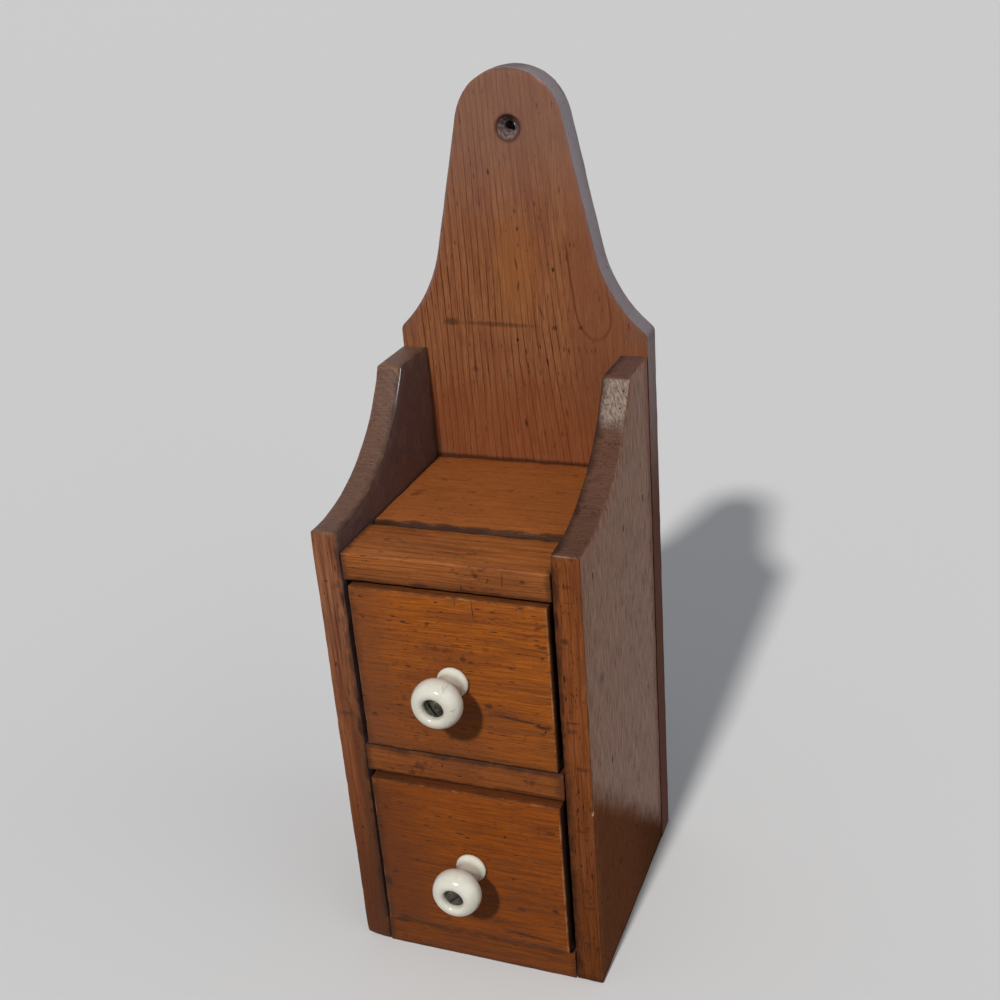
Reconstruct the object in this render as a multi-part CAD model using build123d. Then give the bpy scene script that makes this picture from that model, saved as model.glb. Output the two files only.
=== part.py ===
from build123d import *
from math import acos, atan2, cos, hypot, sin, sqrt
import os

# A small pine spice box with two drawers under an open shelf. It faces -Y and stands on z = 0,
# and the origin is the middle of its base. Lengths are in millimetres, angles in degrees.

# Carcass
overall_width = 130.0
side_thickness = 14.0
side_depth = 118.0  # front edge of a side to the front of the back board
back_thickness = 15.0

bottom_thickness = 16.0
lower_opening = 92.0
divider_thickness = 15.0
upper_opening = 90.0
shelf_thickness = 14.5

rail_depth = 32.5
shelf_gap = 3.5  # shrinkage groove between the rail and the shelf board
lap_length = 10.0  # tongue of the rail under the shelf board
lap_drop = 5.0  # top of that tongue below the shelf
lap_clearance = 0.2

# Arms above the shelf
corner_height = 237.0  # front corner of a side
arm_height = 287.5
arm_depth = 32.0  # flat top of the arm
scoop_radius = 90.0

# Scrolled head of the back board
arch_centre = (1.0, 396.0)  # the arch was sawn a millimetre off centre
arch_radius = 27.4
waist = (40.5, 338.0)  # where a flank turns into its shoulder curve
shoulder = (64.5, 297.8)
shoulder_round = 2.0
hole_radius = 2.7
countersink_radius = 6.0
countersink_depth = 3.3

# Worn arrises
board_arris = 1.0
inner_arris = 0.5

# Drawers
front_thickness = 12.0
drawer_side_thickness = 7.0
drawer_back_thickness = 7.0
drawer_bottom_thickness = 5.0
front_rabbet = 6.0  # how far the bottom runs in behind the front
side_below_front = 1.5
back_below_side = 4.0
running_clearance = 0.3
rear_clearance = 0.5
drawer_arris = 0.8

# Each drawer: how far its front stands proud, the gaps round the front, the place of its knob in
# X and Z, the turn of the slot in the bolt and the heights of the nails through the front
upper_fit = {"proud": 1.5, "left": 2.7, "right": 1.8, "below": 1.3, "above": 1.5,
             "knob": (1.0, 167.5), "slot": -58.0, "nails": (150.0, 197.0)}
lower_fit = {"proud": 3.5, "left": 2.6, "right": 1.3, "below": 2.5, "above": 1.7,
             "knob": (1.6, 62.3), "slot": 42.0, "nails": (38.0, 91.0)}
front_brad_inset = 5.3
floor_brad_inset = 12.0  # from the front and from the rear end of the drawer

# China knob, turned about its own axis, measured out from the drawer front
knob_collar_radius = 7.8
knob_collar_height = 2.6
knob_collar_round = 0.7
knob_neck_radius = 5.9
knob_neck_height = 7.4
knob_throat_radius = 7.0
knob_throat_height = 12.6
knob_head_radius = 12.3
knob_head_height = 19.5  # where the head is widest
knob_head_round = 7.2  # radius of its rounded rim
knob_height = 26.3
knob_lip = (5.8, 25.8)  # a point where the rim rolls over into the dish
knob_dish_radius = 4.7
knob_dish_depth = 2.1
knob_seat_height = 22.2
knob_bore_radius = 2.3

# Bolt, washer and nut
bolt_radius = 2.0
bolt_head_radius = 4.4
bolt_head_height = 1.2
bolt_head_dome = 0.9
bolt_slot_width = 1.1
bolt_slot_depth = 1.1
bolt_end = 2.4  # past the nut
washer_radius = 5.5
washer_thickness = 1.0
nut_width = 7.6
nut_thickness = 3.2
nut_corner = 0.5
nut_turn = 12.0
thread_clearance = 0.05

# Cut brads
brad_head = (3.4, 1.3, 0.8)  # along the grain, across it, thickness
brad_shank = (2.0, 1.0)
brad_tip = 0.8
side_brad_length = 30.0
back_brad_length = 34.0
drawer_brad_length = 22.0
small_brad_length = 14.0
divider_brad_drop = 3.0  # the brads went in below the middle of the divider
rail_brad_depths = (16.0, 65.0, 100.0)  # behind the front edge of the side
board_brad_depths = (32.0, 98.0)
side_brad_heights = (45.0, 135.0, 200.0, 270.0)  # from the back board into each side
back_brad_heights = (22.0, 58.0)  # above the drawer's floor

# Heights and depths that follow
front_y = -(side_depth + back_thickness) / 2
back_face_y = front_y + side_depth
rear_y = back_face_y + back_thickness
outer_x = overall_width / 2
inner_x = outer_x - side_thickness
divider_bottom = bottom_thickness + lower_opening
divider_top = divider_bottom + divider_thickness
shelf_bottom = divider_top + upper_opening
shelf_top = shelf_bottom + shelf_thickness


def block(left, right, front, rear, bottom, top):
    centre = ((left + right) / 2, (front + rear) / 2, (bottom + top) / 2)
    return Pos(*centre) * Box(right - left, rear - front, top - bottom)


def lies_on(edge, axis, place):
    """True for an edge whose ends both have the given coordinate."""
    return all(abs(getattr(end, axis) - place) < 0.01 for end in edge.vertices())


def eased(piece, radius, axis, place, along):
    """Round the edges of a board that lie at one place and run along one axis."""
    edges = piece.edges().filter_by(along).filter_by(lambda edge: lies_on(edge, axis, place))
    return fillet(edges, radius)


def shelf_parts():
    groove_y = front_y + rail_depth
    lap_top = shelf_top - lap_drop
    rail = block(-inner_x, inner_x, front_y, groove_y, shelf_bottom, shelf_top)
    rail += block(-inner_x, inner_x, groove_y, groove_y + lap_length, shelf_bottom, lap_top)
    rail = eased(rail, board_arris, "Y", front_y, Axis.X)

    shelf = block(-inner_x, inner_x, groove_y + shelf_gap, back_face_y, shelf_bottom, shelf_top)
    shelf -= block(-inner_x, inner_x, groove_y, groove_y + lap_length + lap_clearance,
                   shelf_bottom, lap_top + lap_clearance)
    return rail, shelf


def plain_board(bottom, top):
    board = block(-inner_x, inner_x, front_y, back_face_y, bottom, top)
    return eased(board, inner_arris, "Y", front_y, Axis.X)


def side_board(hand):
    """A side with its scooped arm. hand is -1 for the left side and 1 for the right."""
    arm_front_y = back_face_y - arm_depth
    with BuildPart() as side:
        with BuildSketch(Plane.YZ.offset(min(hand * inner_x, hand * outer_x))):
            with BuildLine():
                front_edge = Line((front_y, 0), (front_y, corner_height))
                scoop = RadiusArc(front_edge @ 1, (arm_front_y, arm_height), -scoop_radius)
                Polyline(scoop @ 1, (back_face_y, arm_height), (back_face_y, 0), (front_y, 0))
            make_face()
        extrude(amount=side_thickness)
    board = side.part
    for x, radius in ((hand * outer_x, board_arris), (hand * inner_x, inner_arris)):
        shown = board.edges().filter_by(lambda edge: lies_on(edge, "X", x))
        shown = shown.filter_by(lambda edge: edge.center().Z > 1 and edge.center().Y < back_face_y - 1)
        board = fillet(shown, radius)
    return board


def tangent_point(centre, radius, start, hand):
    """Where a line from start meets a circle, on its left (-1) or right (1) side."""
    across = start[0] - centre[0]
    down = start[1] - centre[1]
    reach = acos(radius / hypot(across, down))
    turn = atan2(down, across) + hand * reach
    return centre[0] + radius * cos(turn), centre[1] + radius * sin(turn)


def scroll_outline():
    """Flanks, arch and shoulders of the back board, as one closed face in X and Z."""
    waist_x, waist_z = waist
    shoulder_x, shoulder_z = shoulder
    left_waist, right_waist = (-waist_x, waist_z), (waist_x, waist_z)
    left_flank = tangent_point(arch_centre, arch_radius, left_waist, -1)
    right_flank = tangent_point(arch_centre, arch_radius, right_waist, 1)
    arch_top = (arch_centre[0], arch_centre[1] + arch_radius)
    with BuildSketch() as outline:
        with BuildLine():
            base = Polyline((-outer_x, shoulder_z - 1), (-outer_x, 0), (outer_x, 0),
                            (outer_x, shoulder_z - 1), (shoulder_x, shoulder_z))
            right_side = Line(right_waist, right_flank)
            left_side = Line(left_waist, left_flank)
            ThreePointArc(right_flank, arch_top, left_flank)
            TangentArc(right_waist, base @ 1, tangent=-(right_side % 0))
            TangentArc(left_waist, (-shoulder_x, shoulder_z), tangent=-(left_side % 0))
            Line((-shoulder_x, shoulder_z), base @ 0)
        make_face()
        corners = outline.vertices().filter_by(lambda v: abs(v.Y - shoulder_z) < 0.01)
        fillet(corners, shoulder_round)
    return outline.sketch


def back():
    hole_x, hole_z = arch_centre
    board = extrude(Plane.XZ.offset(-rear_y) * scroll_outline(), back_thickness)
    rim = board.edges().filter_by(lambda edge: edge.center().Z > arm_height + 1)
    shown = rim.filter_by(lambda edge: lies_on(edge, "Y", back_face_y) or lies_on(edge, "Y", rear_y))
    board = fillet(shown, board_arris)
    hole = Plane(origin=(hole_x, back_face_y, hole_z), z_dir=(0, -1, 0))
    board -= hole * Pos(0, 0, -back_thickness / 2) * Cylinder(hole_radius, back_thickness)
    board -= hole * Pos(0, 0, -countersink_depth / 2) * Cone(hole_radius, countersink_radius,
                                                             countersink_depth)
    return board


def brad(head_place, inward, grain, length):
    """A cut brad with its head flush at head_place, driven along inward."""
    head_length, head_width, head_thickness = brad_head
    outward = tuple(-part for part in inward)
    with BuildPart() as nail:
        with BuildSketch():
            Rectangle(head_length, head_width)
        extrude(amount=-head_thickness)
        with BuildSketch(Plane.XY.offset(-head_thickness)):
            Rectangle(*brad_shank)
        with BuildSketch(Plane.XY.offset(-length)):
            Rectangle(brad_tip, brad_tip)
        loft()
    return Plane(origin=head_place, x_dir=grain, z_dir=outward) * nail.part


def drive(brads, boards):
    """Cut the holes that the brads fill in the named boards."""
    for name in boards:
        pieces[name] = pieces[name].cut(*brads)
    return Compound(children=brads)


def side_brads(hand):
    rail_middle = shelf_bottom + shelf_thickness / 2
    divider_height = divider_top - divider_thickness / 2 - divider_brad_drop
    places = [(depth, rail_middle) for depth in rail_brad_depths]
    places += [(depth, z) for z in (divider_height, bottom_thickness / 2) for depth in board_brad_depths]
    return [brad((hand * outer_x, front_y + depth, z), (-hand, 0, 0), (0, 0, 1), side_brad_length)
            for depth, z in places]


def back_brads():
    side_middle = outer_x - side_thickness / 2
    board_middles = (bottom_thickness / 2, divider_top - divider_thickness / 2,
                     shelf_bottom + shelf_thickness / 2)
    places = [(side_middle, z) for z in side_brad_heights]
    places += [(inner_x / 2, z) for z in board_middles]
    return [brad((hand * x, rear_y, z), (0, -1, 0), (0, 0, 1), back_brad_length)
            for hand in (-1, 1) for x, z in places]


def rim_radius(height):
    """How far out the rounded rim of the knob's head reaches at a height."""
    rise = height - knob_head_height
    return knob_head_radius - knob_head_round + sqrt(knob_head_round ** 2 - rise ** 2)


def on_front(place, y, outward):
    """A plane square to the drawer front at the knob, facing out (-1) or into the drawer (1)."""
    return Plane(origin=(place[0], y, place[1]), x_dir=(1, 0, 0), z_dir=(0, outward, 0))


def knob(place, face_y):
    under_height = (knob_throat_height + knob_head_height) / 2
    over_height = (knob_head_height + knob_height) / 2
    collar_edge = knob_collar_radius - knob_collar_round
    with BuildPart() as turned:
        with BuildSketch(Plane.XZ):
            with BuildLine():
                base = Polyline((knob_bore_radius, knob_seat_height), (knob_bore_radius, 0),
                                (collar_edge, 0))
                collar = ThreePointArc(base @ 1, (knob_collar_radius, knob_collar_height / 2),
                                       (collar_edge, knob_collar_height))
                neck = ThreePointArc(collar @ 1, (knob_neck_radius, knob_neck_height),
                                     (knob_throat_radius, knob_throat_height))
                under = ThreePointArc(neck @ 1, (rim_radius(under_height), under_height),
                                      (knob_head_radius, knob_head_height))
                over = ThreePointArc(under @ 1, (rim_radius(over_height), over_height),
                                     (rim_radius(knob_height), knob_height))
                dish = ThreePointArc(over @ 1, knob_lip,
                                     (knob_dish_radius, knob_height - knob_dish_depth))
                Polyline(dish @ 1, (knob_dish_radius, knob_seat_height), base @ 0)
            make_face()
        revolve(axis=Axis.Z)
    return on_front(place, face_y, -1) * turned.part


def knob_bolt(place, face_y, slot_turn):
    """A slotted round-head bolt, from its head in the knob to its end inside the drawer."""
    length = knob_seat_height + front_thickness + washer_thickness + nut_thickness + bolt_end
    crown_height = bolt_head_height + bolt_head_dome
    crown_radius = (bolt_head_radius ** 2 + bolt_head_dome ** 2) / (2 * bolt_head_dome)
    with BuildPart() as bolt:
        with BuildSketch(Plane.XZ):
            with BuildLine():
                head_edge = Polyline((0, -length), (bolt_radius, -length), (bolt_radius, 0),
                                     (bolt_head_radius, 0), (bolt_head_radius, bolt_head_height))
                crown = RadiusArc(head_edge @ 1, (0, crown_height), -crown_radius)
                Line(crown @ 1, head_edge @ 0)
            make_face()
        revolve(axis=Axis.Z)
        with Locations(Pos(0, 0, crown_height) * Rot(0, 0, slot_turn)):
            Box(3 * bolt_head_radius, bolt_slot_width, 2 * bolt_slot_depth, mode=Mode.SUBTRACT)
    return on_front(place, face_y - knob_seat_height, -1) * bolt.part


def washer(place, inner_y):
    ring = Cylinder(washer_radius, washer_thickness) - Cylinder(knob_bore_radius, washer_thickness)
    return on_front(place, inner_y, 1) * Pos(0, 0, washer_thickness / 2) * ring


def square_nut(place, inner_y):
    nut = Box(nut_width, nut_width, nut_thickness)
    nut -= Cylinder(bolt_radius + thread_clearance, nut_thickness)
    nut = chamfer(nut.edges().filter_by(Axis.Z), nut_corner)
    seated = on_front(place, inner_y + washer_thickness, 1) * Pos(0, 0, nut_thickness / 2)
    return seated * Rot(0, 0, nut_turn) * nut


def drawer(name, opening_bottom, opening_top, fit):
    """Add one drawer's pieces, closed against the back board."""
    left, right = -inner_x + fit["left"], inner_x - fit["right"]
    bottom, top = opening_bottom + fit["below"], opening_top - fit["above"]
    face_y = front_y - fit["proud"]
    inside_y = face_y + front_thickness
    end_y = back_face_y - rear_clearance
    floor_bottom = opening_bottom + running_clearance
    floor_top = floor_bottom + drawer_bottom_thickness
    side_top = top - side_below_front
    left_wall, right_wall = left + drawer_side_thickness, right - drawer_side_thickness

    front = block(left, right, face_y, inside_y, bottom, top)
    front -= block(left, right, inside_y - front_rabbet, inside_y, bottom, floor_top)
    shown = front.edges().filter_by(lambda edge: lies_on(edge, "Y", face_y))
    front = fillet(shown, drawer_arris)
    middle_y = (face_y + inside_y) / 2
    front -= on_front(fit["knob"], middle_y, -1) * Cylinder(knob_bore_radius, front_thickness)
    pieces[name + "_drawer_front"] = front

    pieces[name + "_drawer_left_side"] = block(left, left_wall, inside_y, end_y, floor_top, side_top)
    pieces[name + "_drawer_right_side"] = block(right_wall, right, inside_y, end_y,
                                                floor_top, side_top)
    pieces[name + "_drawer_back"] = block(left_wall, right_wall, end_y - drawer_back_thickness,
                                          end_y, floor_top, side_top - back_below_side)
    pieces[name + "_drawer_bottom"] = block(left, right, inside_y - front_rabbet, end_y,
                                            floor_bottom, floor_top)

    front_brads = [brad((x, face_y, z), (0, 1, 0), (1, 0, 0), drawer_brad_length)
                   for x in (left + front_brad_inset, right - front_brad_inset)
                   for z in fit["nails"]]
    wall = drawer_side_thickness / 2
    floor_brads = [brad((x, y, floor_bottom), (0, 0, 1), (0, 1, 0), small_brad_length)
                   for x in (left + wall, right - wall)
                   for y in (inside_y + floor_brad_inset, (inside_y + end_y) / 2,
                             end_y - floor_brad_inset)]
    back_middle = end_y - drawer_back_thickness / 2
    back_brads = [brad((x, back_middle, floor_top + height), (inward, 0, 0), (0, 1, 0),
                       small_brad_length)
                  for x, inward in ((left, 1), (right, -1)) for height in back_brad_heights]
    boards = [name + "_drawer_" + board for board in ("front", "left_side", "right_side", "back",
                                                      "bottom")]
    pieces[name + "_drawer_nails"] = drive(front_brads + floor_brads + back_brads, boards)

    pieces[name + "_knob"] = knob(fit["knob"], face_y)
    pieces[name + "_knob_bolt"] = knob_bolt(fit["knob"], face_y, fit["slot"])
    pieces[name + "_knob_washer"] = washer(fit["knob"], inside_y)
    pieces[name + "_knob_nut"] = square_nut(fit["knob"], inside_y)


pieces = {}
pieces["back_board"] = back()
pieces["left_side"] = side_board(-1)
pieces["right_side"] = side_board(1)
pieces["top_rail"], pieces["shelf_board"] = shelf_parts()
pieces["drawer_divider"] = plain_board(divider_bottom, divider_top)
pieces["bottom_board"] = plain_board(0, bottom_thickness)

cross_boards = ["top_rail", "shelf_board", "drawer_divider", "bottom_board"]
pieces["left_side_nails"] = drive(side_brads(-1), ["left_side"] + cross_boards)
pieces["right_side_nails"] = drive(side_brads(1), ["right_side"] + cross_boards)
pieces["back_nails"] = drive(back_brads(), ["back_board", "left_side", "right_side"] + cross_boards)

drawer("upper", divider_top, shelf_bottom, upper_fit)
drawer("lower", bottom_thickness, divider_bottom, lower_fit)

os.makedirs("parts", exist_ok=True)
for node, piece in pieces.items():
    export_step(piece, "parts/" + node + ".step")
    print(node, round(piece.volume, 1))
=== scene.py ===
import bpy
from math import acos, atan2, cos, pi, radians, sin, sqrt
from mathutils import Matrix, Vector


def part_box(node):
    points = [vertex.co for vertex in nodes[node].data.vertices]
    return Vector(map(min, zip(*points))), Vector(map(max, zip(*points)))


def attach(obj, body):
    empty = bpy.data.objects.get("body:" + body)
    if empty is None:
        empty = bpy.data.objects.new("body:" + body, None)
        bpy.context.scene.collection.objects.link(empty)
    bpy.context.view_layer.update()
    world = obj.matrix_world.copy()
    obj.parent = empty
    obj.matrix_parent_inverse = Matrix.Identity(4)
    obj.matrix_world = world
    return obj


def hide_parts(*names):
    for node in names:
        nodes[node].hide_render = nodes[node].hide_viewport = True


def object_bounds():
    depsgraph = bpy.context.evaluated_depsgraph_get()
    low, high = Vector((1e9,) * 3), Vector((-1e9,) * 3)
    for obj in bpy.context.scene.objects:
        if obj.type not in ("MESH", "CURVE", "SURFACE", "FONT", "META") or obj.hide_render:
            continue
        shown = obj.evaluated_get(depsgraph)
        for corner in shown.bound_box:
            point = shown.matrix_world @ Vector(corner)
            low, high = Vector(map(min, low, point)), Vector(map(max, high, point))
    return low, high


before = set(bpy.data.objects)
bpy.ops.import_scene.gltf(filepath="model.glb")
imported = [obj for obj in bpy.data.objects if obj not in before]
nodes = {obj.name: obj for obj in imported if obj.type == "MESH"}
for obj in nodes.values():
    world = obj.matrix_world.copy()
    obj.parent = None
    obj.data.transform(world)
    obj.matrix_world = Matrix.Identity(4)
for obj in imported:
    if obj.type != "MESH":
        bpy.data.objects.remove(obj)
cadLow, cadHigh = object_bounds()
mm = 0.001
touching = 1e-6
sharpFrom, smoothTo = 33, 35  # degrees between faces

# Lists of points in a board's own plane, used as its four sides


def evenly(first, last, count):
    return [first + (last - first) * step / count for step in range(count + 1)]


def line(start, end, count):
    start, end = Vector(start), Vector(end)
    return [start.lerp(end, step / count) for step in range(count + 1)]


def arc(centre, radius, first, last, count):
    return [Vector((centre[0] + radius * cos(turn), centre[1] + radius * sin(turn)))
            for turn in evenly(first, last, count)]


def chain(*runs):  # runs that meet end to end, with each shared point kept once
    points = list(runs[0])
    for run in runs[1:]:
        points += run[1:]
    return points


planes = {  # a board's width, height and thickness as directions
    "xz": (Vector((1, 0, 0)), Vector((0, 0, 1)), Vector((0, 1, 0))),
    "yz": (Vector((0, 1, 0)), Vector((0, 0, 1)), Vector((1, 0, 0))),
    "xy": (Vector((1, 0, 0)), Vector((0, 1, 0)), Vector((0, 0, 1))),
}


def deselect():
    bpy.ops.object.select_all(action="DESELECT")


def only(piece):
    deselect()
    piece.select_set(True)
    bpy.context.view_layer.objects.active = piece


def applied(piece, kind, **settings):
    only(piece)
    modifier = piece.modifiers.new(kind.title(), kind)
    for key, value in settings.items():
        setattr(modifier, key, value)
    bpy.ops.object.modifier_apply(modifier=modifier.name)


def pickFaces(piece, wanted):  # leaves edit mode with just the wanted faces selected
    bpy.ops.mesh.select_all(action="DESELECT")
    bpy.ops.object.mode_set(mode="OBJECT")
    for face in piece.data.polygons:
        face.select = wanted(face)
    bpy.ops.object.mode_set(mode="EDIT")
    bpy.ops.mesh.select_mode(type="FACE")


def sheetBetween(name, plane, sides, depth):
    bottom, top, left, right = sides
    columns, rows = len(bottom) - 1, len(left) - 1
    width, height, thick = planes[plane]
    deselect()
    bpy.ops.mesh.primitive_grid_add(x_subdivisions=columns, y_subdivisions=rows, size=2)
    piece = bpy.context.object
    piece.name = name
    for vertex in piece.data.vertices:
        column = round((vertex.co.x + 1) / 2 * columns)
        row = round((vertex.co.y + 1) / 2 * rows)
        s, t = column / columns, row / rows
        upDown = bottom[column] * (1 - t) + top[column] * t
        sideways = left[row] * (1 - s) + right[row] * s
        corners = (bottom[0] * (1 - s) + bottom[-1] * s) * (1 - t) + (top[0] * (1 - s) + top[-1] * s) * t
        spot = upDown + sideways - corners
        vertex.co = width * spot[0] + height * spot[1] + thick * depth
    return piece


def thicken(plane, depths):  # the active sheet at the first depth, drawn out to each of the others
    thick = planes[plane][2]
    bpy.ops.object.mode_set(mode="EDIT")
    bpy.ops.mesh.select_all(action="SELECT")
    for before, after in zip(depths, depths[1:]):
        bpy.ops.mesh.extrude_region_move(TRANSFORM_OT_translate={"value": thick * (after - before)})


def easeArrises(piece, radius):
    bpy.ops.mesh.select_all(action="SELECT")
    bpy.ops.mesh.normals_make_consistent(inside=False)
    bpy.ops.mesh.select_mode(type="EDGE")
    bpy.ops.mesh.select_all(action="DESELECT")
    bpy.ops.mesh.edges_select_sharp(sharpness=radians(sharpFrom))
    bpy.ops.mesh.bevel(offset=radius, segments=3, profile=0.5, affect="EDGES", clamp_overlap=True)
    group = piece.vertex_groups.new(name="rim")
    piece.vertex_groups.active_index = group.index
    bpy.ops.object.vertex_group_assign()
    bpy.ops.object.mode_set(mode="OBJECT")
    rim = piece.data.attributes.new("arris", "FLOAT", "POINT")
    for vertex in piece.data.vertices:
        rim.data[vertex.index].value = 1.0 if any(g.group == group.index for g in vertex.groups) else 0.0


def wearArrises(piece, depth, grainSize):  # handled edges are eaten back unevenly
    knocks = bpy.data.textures.new(piece.name + "Knocks", "CLOUDS")
    knocks.noise_scale = grainSize
    knocks.noise_depth = 3
    applied(piece, "DISPLACE", texture=knocks, texture_coords="LOCAL", direction="NORMAL",
            vertex_group="rim", strength=-depth, mid_level=0.0)


def worn(piece, wear):
    easeArrises(piece, wear["arris"])
    wearArrises(piece, wear["loss"], wear["spread"])


def knock(piece, place, reach, depth):  # a place worn round, pushed in towards the piece's middle
    centre = sum((v.co for v in piece.data.vertices), Vector()) / len(piece.data.vertices)
    place = Vector(place)
    inward = (centre - place).normalized()
    for vertex in piece.data.vertices:
        near = 1 - (vertex.co - place).length / reach
        if near > 0:
            vertex.co += inward * depth * near


def smoothed(piece, angle=smoothTo):
    only(piece)
    bpy.ops.object.shade_smooth_by_angle(angle=radians(angle))


def finished(piece, body, slot, finish, *stoodFor):
    only(piece)
    bpy.ops.object.transform_apply(location=True, rotation=True, scale=True)
    piece.data.materials.clear()
    piece.data.materials.append(finish)
    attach(piece, body)
    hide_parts(*stoodFor)
    return piece


def plainBoard(name, node, plane, wear, columns, rows, layers):
    low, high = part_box(node)
    (left, right), (foot, top), (near, far) = ((low.dot(way), high.dot(way)) for way in planes[plane])
    sides = (line((left, foot), (right, foot), columns), line((left, top), (right, top), columns),
             line((left, foot), (left, top), rows), line((right, foot), (right, top), rows))
    piece = sheetBetween(name, plane, sides, near)
    thicken(plane, evenly(near, far, layers))
    worn(piece, wear)
    smoothed(piece)
    return piece


def cutAway(piece, cutter):
    applied(piece, "BOOLEAN", object=cutter, operation="DIFFERENCE", solver="EXACT")
    bpy.data.objects.remove(cutter)


def nailPockets(piece, nailNode, gap=0.12 * mm):
    cutter = nodes[nailNode].copy()
    cutter.data = nodes[nailNode].data.copy()
    bpy.context.scene.collection.objects.link(cutter)
    cutter.hide_viewport = False
    only(cutter)
    bpy.ops.object.mode_set(mode="EDIT")
    bpy.ops.mesh.select_all(action="SELECT")
    bpy.ops.mesh.remove_doubles(threshold=touching)
    bpy.ops.mesh.normals_make_consistent(inside=False)
    bpy.ops.object.mode_set(mode="OBJECT")
    bpy.ops.mesh.customdata_custom_splitnormals_clear()
    applied(cutter, "DISPLACE", strength=gap, mid_level=0.0)
    cutAway(piece, cutter)


# Shaders


def sumOf(operation, swapped=False):
    def made(self, other):
        return self.paint.maths(operation, *((other, self) if swapped else (self, other)))
    return made


class Wire:  # a shader value: sums written on it add nodes
    __add__ = __radd__ = sumOf("ADD")
    __sub__ = sumOf("SUBTRACT")
    __rsub__ = sumOf("SUBTRACT", True)
    __mul__ = __rmul__ = sumOf("MULTIPLY")
    __truediv__ = sumOf("DIVIDE")
    __pow__ = sumOf("POWER")
    most = sumOf("MAXIMUM")

    def __init__(self, paint, socket):
        self.paint = paint
        self.socket = socket

    def __abs__(self):
        return self.paint.maths("ABSOLUTE", self)

    def root(self):
        return self.paint.maths("SQRT", self)

    def rise(self, low, high):  # from 0 at low to 1 at high
        values = {"Value": self, "From Min": low, "From Max": high}
        return self.paint.node("ShaderNodeMapRange", {"interpolation_type": "SMOOTHSTEP"}, values)

    def fall(self, low, high):
        return 1 - self.rise(low, high)


class Paint:
    def __init__(self, owner):  # a material or a world
        owner.use_nodes = True
        self.owner = owner
        self.tree = owner.node_tree

    def node(self, kind, settings, inputs, output=0):
        made = self.tree.nodes.new(kind)
        for key, value in settings.items():
            setattr(made, key, value)
        for key, value in inputs.items():
            if isinstance(value, Wire):
                self.tree.links.new(value.socket, made.inputs[key])
            else:
                made.inputs[key].default_value = value
        return Wire(self, made.outputs[output])

    def maths(self, operation, *values):
        return self.node("ShaderNodeMath", {"operation": operation}, dict(enumerate(values)))

    def blend(self, amount, first, second):
        first, second = (c if isinstance(c, Wire) else (*c, 1) for c in (first, second))
        return self.node("ShaderNodeMix", {"data_type": "RGBA"}, {0: amount, 6: first, 7: second}, 2)

    def laid(self, colour, tones, **masks):  # tones laid over a colour in turn, each with its own strength
        for name, mask in masks.items():
            *tone, strength = tones[name]
            colour = self.blend(mask * strength, colour, tone)
        return colour

    def shade(self, colour, amount):
        return self.node("ShaderNodeVectorMath", {"operation": "SCALE"}, {0: colour, "Scale": amount})

    def vector(self, x, y, z):
        return self.node("ShaderNodeCombineXYZ", {}, {"X": x, "Y": y, "Z": z})

    def noise(self, vector, detail=2.0, roughness=0.5):
        values = {"Vector": vector, "Scale": 1.0, "Detail": detail, "Roughness": roughness}
        return self.node("ShaderNodeTexNoise", {}, values)

    def cells(self, vector, output, feature="F1"):
        values = {"Vector": vector, "Scale": 1.0}
        return self.node("ShaderNodeTexVoronoi", {"feature": feature}, values, output)

    def place(self):  # x, y and z on the piece, in millimetres
        coords = self.node("ShaderNodeTexCoord", {}, {}, "Object")
        split = self.tree.nodes.new("ShaderNodeSeparateXYZ")
        self.tree.links.new(self.shade(coords, 1000.0).socket, split.inputs[0])
        return [Wire(self, split.outputs[axis]) for axis in "XYZ"]

    def arris(self):
        return self.node("ShaderNodeAttribute", {"attribute_name": "arris"}, {}, "Fac")

    def cover(self, **parts):
        names = {"colour": "Base Color", "roughness": "Roughness", "metallic": "Metallic",
                 "coat": "Coat Weight", "coatRoughness": "Coat Roughness", "specular": "Specular IOR Level",
                 "glow": "Emission Color", "glowStrength": "Emission Strength", "normal": "Normal"}
        if "height" in parts:
            values = dict(zip(("Height", "Strength", "Distance"), parts.pop("height")))
            parts["normal"] = self.node("ShaderNodeBump", {}, values)
        surface = self.tree.nodes["Principled BSDF"]
        for key, value in parts.items():
            if isinstance(value, Wire):
                self.tree.links.new(value.socket, surface.inputs[names[key]])
            else:
                surface.inputs[names[key]].default_value = value
        return self.owner


def newPaint(name):
    return Paint(bpy.data.materials.new(name))


def spots(u, v, marks, ragged):  # ellipses on a face: place, half length, half width, turn, strength
    dark = None
    for du, dv, long, wide, turn, strength in marks:
        du, dv, turn = u - du, v - dv, radians(turn)
        p = (du * cos(turn) + dv * sin(turn)) / long
        q = (dv * cos(turn) - du * sin(turn)) / wide
        away = (p * p + q * q).root() + (ragged - 0.5) * 0.9
        spot = away.fall(0.35, 1.0) * strength
        dark = spot if dark is None else dark.most(spot)
    return dark


def grime(node, places, borders, ragged):  # darker bands along a board's edges: dirt, and painted shade where a band lies under or against another part
    low, high = (corner * 1000 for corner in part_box(node))
    dirt = None
    for axis, end, width, strength in borders:
        axis = "xyz".index(axis)
        gap = places[axis] - low[axis] if end == "low" else high[axis] - places[axis]
        band = (gap + (ragged - 0.5) * width * 1.5).fall(0.0, width) * strength
        dirt = band if dirt is None else dirt.most(band)
    return dirt


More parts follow.
